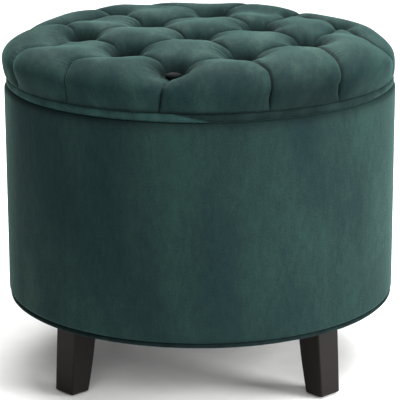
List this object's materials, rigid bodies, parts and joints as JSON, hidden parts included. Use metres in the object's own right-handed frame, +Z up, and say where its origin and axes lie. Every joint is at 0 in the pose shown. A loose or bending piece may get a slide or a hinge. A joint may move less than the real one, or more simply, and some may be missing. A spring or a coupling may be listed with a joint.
{
  "type": "storage ottoman",
  "caption": "Round velvet storage ottoman: an upholstered drum on tapered square wooden legs, with a deep-tufted cushion lid that lifts off over a lined hollow.",
  "frame": {"origin": "on the floor, at the centre of the drum", "axes": "+Z up, +X to the right and -Y to the front; the legs stand at 45 degrees to X and Y"},
  "size_m": [0.562, 0.562, 0.4843],
  "materials": {
    "velvet": "matte",
    "velvet_welt": "matte",
    "espresso_wood": "satin",
    "pine": "matte",
    "plywood": "matte",
    "hardboard": "matte",
    "wadding": "matte",
    "foam": "matte",
    "lining_cloth": "matte",
    "dust_cloth": "matte",
    "twine": "matte",
    "zinc_steel": "satin",
    "glide_plastic": "matte"
  },
  "bodies": {
    "base": {"leg_front_left": "espresso_wood", "leg_front_right": "espresso_wood", "leg_rear_left": "espresso_wood", "leg_rear_right": "espresso_wood", "wall_post_1": "pine", "wall_post_2": "pine", "wall_post_3": "pine", "wall_post_4": "pine", "wall_post_5": "pine", "wall_post_6": "pine", "wall_post_7": "pine", "wall_post_8": "pine", "leg_glides": "glide_plastic", "leg_bolts": "zinc_steel", "leg_tee_nuts": "zinc_steel", "bottom_panel": "plywood", "top_ring": "plywood", "frame_screws": "zinc_steel", "wall_shell": "hardboard", "wall_wadding": "wadding", "side_cover": "velvet", "bottom_welt": "velvet_welt", "inner_wall": "hardboard", "wall_lining": "lining_cloth", "floor_board": "hardboard", "floor_lining": "lining_cloth", "dust_cover": "dust_cloth", "dust_cover_staples": "zinc_steel"},
    "lid": {"lid_board": "plywood", "lid_band": "velvet_welt", "lid_lining": "lining_cloth", "locating_ring": "lining_cloth", "locating_screws": "zinc_steel", "lid_foam": "foam", "lid_cover": "velvet", "covered_buttons": "velvet", "tufting_twines": "twine", "twine_staples": "zinc_steel"}
  },
  "joints": [
    {"name": "lid_lift", "type": "slide", "parent": "base", "child": "lid", "axis": [0, 0, 1], "range_m": [0, 0.3]}
  ]
}
